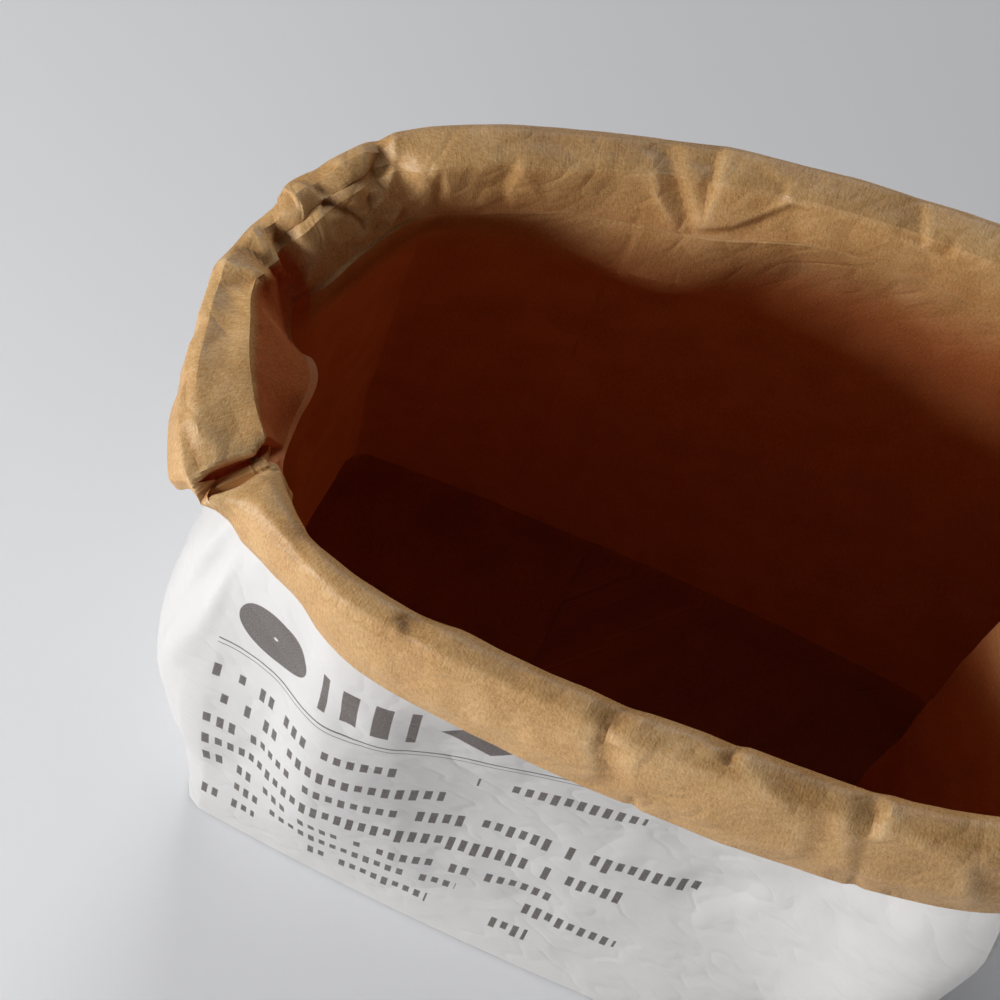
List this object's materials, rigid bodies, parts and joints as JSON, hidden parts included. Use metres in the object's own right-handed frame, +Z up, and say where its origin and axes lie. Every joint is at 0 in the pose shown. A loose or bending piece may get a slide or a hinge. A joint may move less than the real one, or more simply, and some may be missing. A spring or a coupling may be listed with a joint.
{
  "type": "paper bag",
  "caption": "Standing two-ply paper bag with a block bottom and gusseted ends, open at the top, its rim turned outwards into a rolled cuff.",
  "frame": {"origin": "middle of the bag's outline, on the surface that its flat bottom stands on", "axes": "+Z up out of the mouth, +X along the marked front face towards the deeper gusset, -Y out of the marked front face"},
  "size_m": [0.3084, 0.1985, 0.3101],
  "materials": {
    "kraft_paper": "smooth uncoated kraft paper, creased",
    "white_paper": "smooth uncoated white paper with plain dark grey marks, creased"
  },
  "bodies": {
    "root": {"paper_bag": "kraft_paper"}
  },
  "joints": []
}
